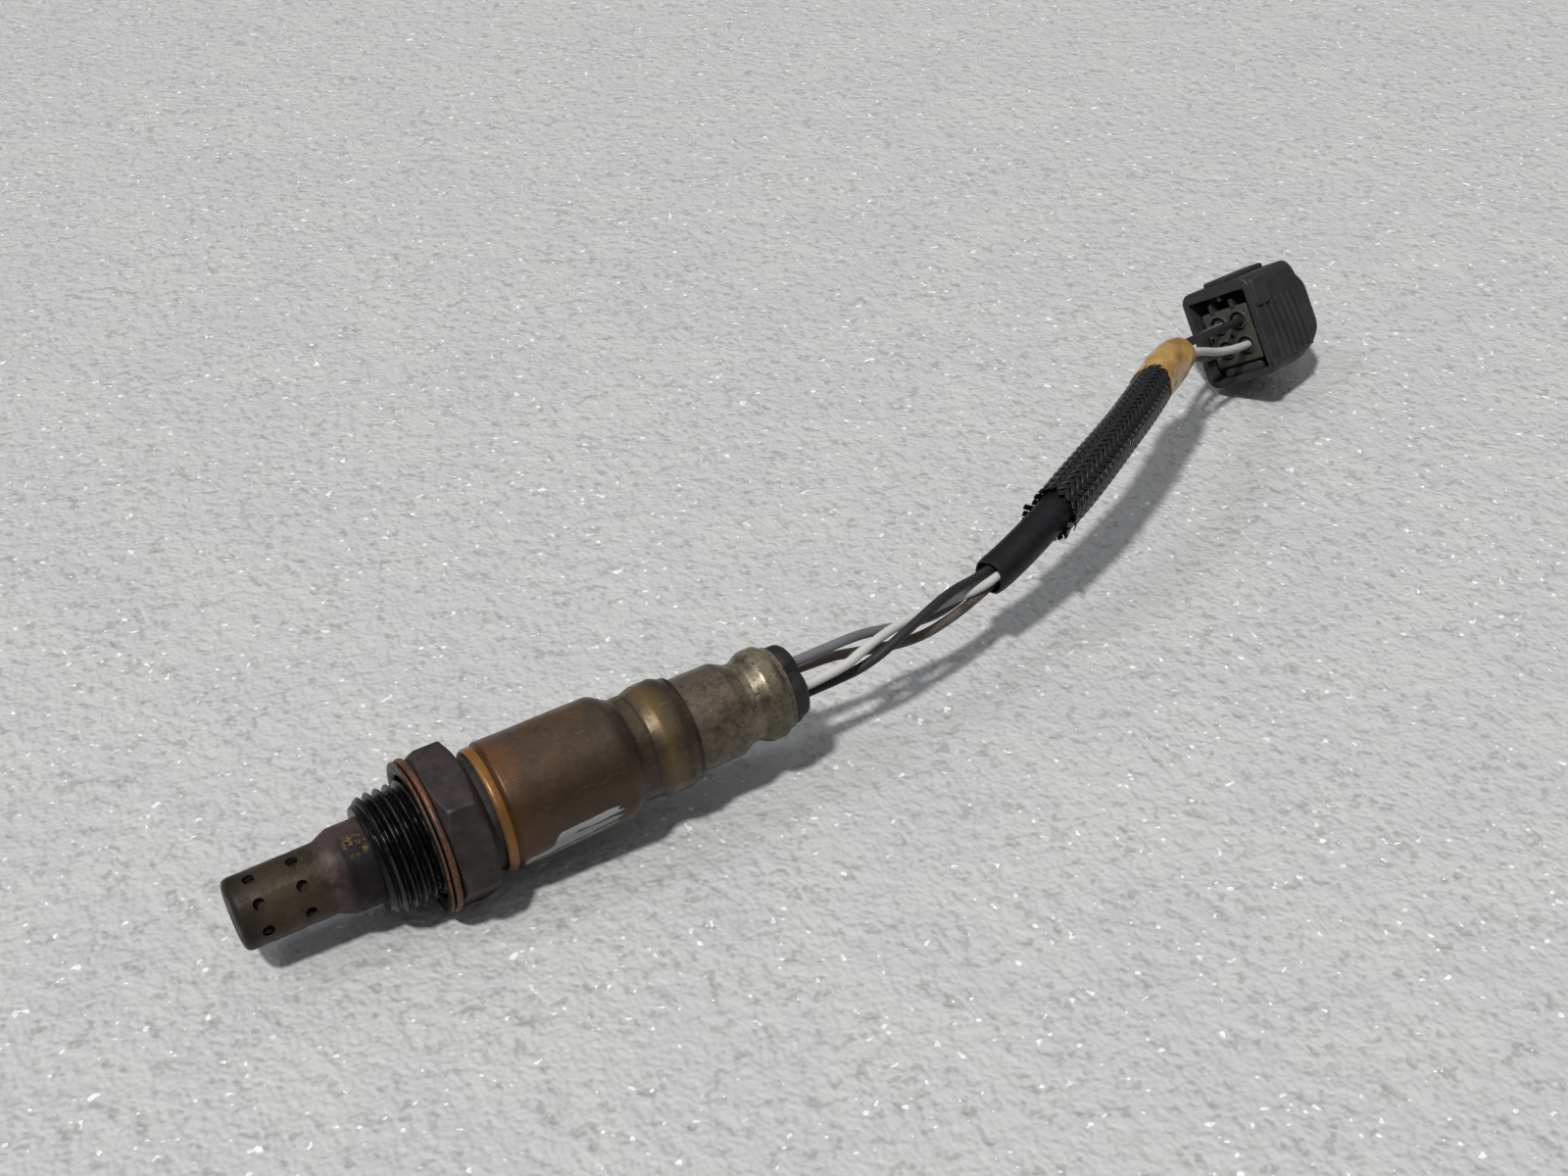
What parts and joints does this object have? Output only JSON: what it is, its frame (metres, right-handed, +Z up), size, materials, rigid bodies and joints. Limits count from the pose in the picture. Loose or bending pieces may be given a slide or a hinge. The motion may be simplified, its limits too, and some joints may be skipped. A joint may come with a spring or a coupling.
{
  "type": "oxygen sensor",
  "caption": "Heated four-wire exhaust oxygen sensor: holed probe, threaded shell with hexagon and gasket, bronze casing, frayed lead and a ribbed plug connector.",
  "frame": {"origin": "centre of the gasket's front face, which seals against the boss, on the sensor's axis", "axes": "+X level, along the sensor from the probe's tip towards the lead; +Z up from the surface it lies on"},
  "size_m": [0.2386, 0.0804, 0.0274],
  "materials": {
    "tube_steel": "heat-tinted, sooty",
    "shell_steel": "blackened, matt",
    "gasket_copper": "dull copper-brown",
    "casing_steel": "heat-tinted bronze",
    "sleeve_steel": "heat-tinted, satin",
    "contact_metal": "bright",
    "ceramic": "matt",
    "talc": "matt",
    "grommet_rubber": "matt",
    "insulation_grey": "satin",
    "insulation_brown": "dirty, satin",
    "insulation_white": "satin",
    "insulation_black": "satin",
    "sleeve_rubber": "satin",
    "braid_fabric": "woven",
    "wrap_film": "amber, see-through",
    "connector_plastic": "moulded",
    "insert_plastic": "moulded",
    "seal_rubber": "matt"
  },
  "bodies": {
    "root": {"adhesive_wrap": "wrap_film", "braided_sleeve": "braid_fabric", "ceramic_holder": "ceramic", "connector_housing": "connector_plastic", "connector_insert": "insert_plastic", "contact_inner": "contact_metal", "contact_outer": "contact_metal", "contact_socket_1": "contact_metal", "contact_socket_2": "contact_metal", "contact_socket_3": "contact_metal", "contact_socket_4": "contact_metal", "crush_gasket": "gasket_copper", "element_washer": "shell_steel", "grommet": "grommet_rubber", "heater_rod": "ceramic", "inner_protection_tube": "tube_steel", "insulating_sleeve": "sleeve_rubber", "insulator_ring": "ceramic", "main_casing": "casing_steel", "outer_protection_tube": "tube_steel", "packing_washer": "shell_steel", "rear_sleeve": "sleeve_steel", "sensing_element": "ceramic", "shell": "shell_steel", "spring_washer": "sleeve_steel", "talc_packing": "talc", "terminal_black": "contact_metal", "terminal_brown": "contact_metal", "terminal_grey": "contact_metal", "terminal_white": "contact_metal", "wire_black": "insulation_black", "wire_brown": "insulation_brown", "wire_grey": "insulation_grey", "wire_seal_1": "seal_rubber", "wire_seal_2": "seal_rubber", "wire_seal_3": "seal_rubber", "wire_seal_4": "seal_rubber", "wire_white": "insulation_white"}
  },
  "joints": []
}
